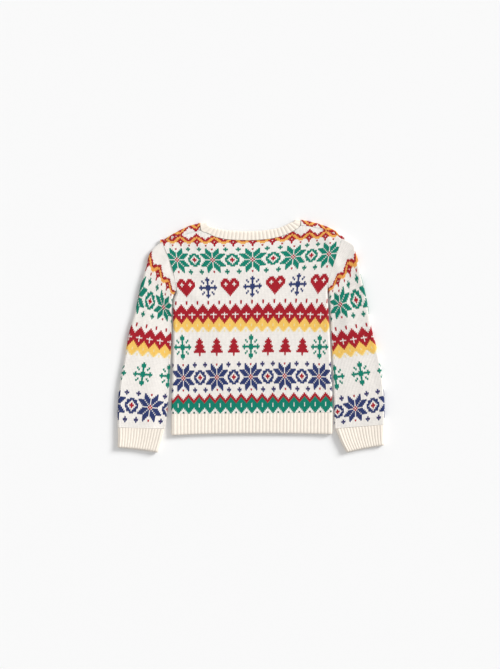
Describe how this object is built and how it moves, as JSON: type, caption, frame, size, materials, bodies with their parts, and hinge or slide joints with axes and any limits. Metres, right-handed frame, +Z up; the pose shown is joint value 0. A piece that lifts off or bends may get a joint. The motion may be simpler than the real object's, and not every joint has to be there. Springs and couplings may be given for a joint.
{
  "type": "toddler's knitted christmas sweater, laid flat",
  "caption": "Toddler's crew-neck sweater in patterned two-colour knit with ribbed neck, cuffs and hem, laid flat back up with its sleeves folded down beside the body.",
  "frame": {"origin": "centre of the whole part's bounding box in plan, on the surface that it lies on", "axes": "+X across the chest towards the wearer's right sleeve, +Y towards the neck, +Z up from the surface"},
  "size_m": [0.4674, 0.4078, 0.0089],
  "materials": {
    "patterned_knit": "soft two-colour stockinette, cream ground with red, green, blue and yellow bands",
    "cream_rib": "soft cream one-by-one rib, matt with a slight nap"
  },
  "bodies": {
    "root": {"back_panel": "patterned_knit", "front_panel": "patterned_knit", "left_sleeve": "patterned_knit", "right_sleeve": "patterned_knit", "neckband": "cream_rib", "hem_rib_back": "cream_rib", "hem_rib_front": "cream_rib", "left_cuff": "cream_rib", "right_cuff": "cream_rib"}
  },
  "joints": []
}
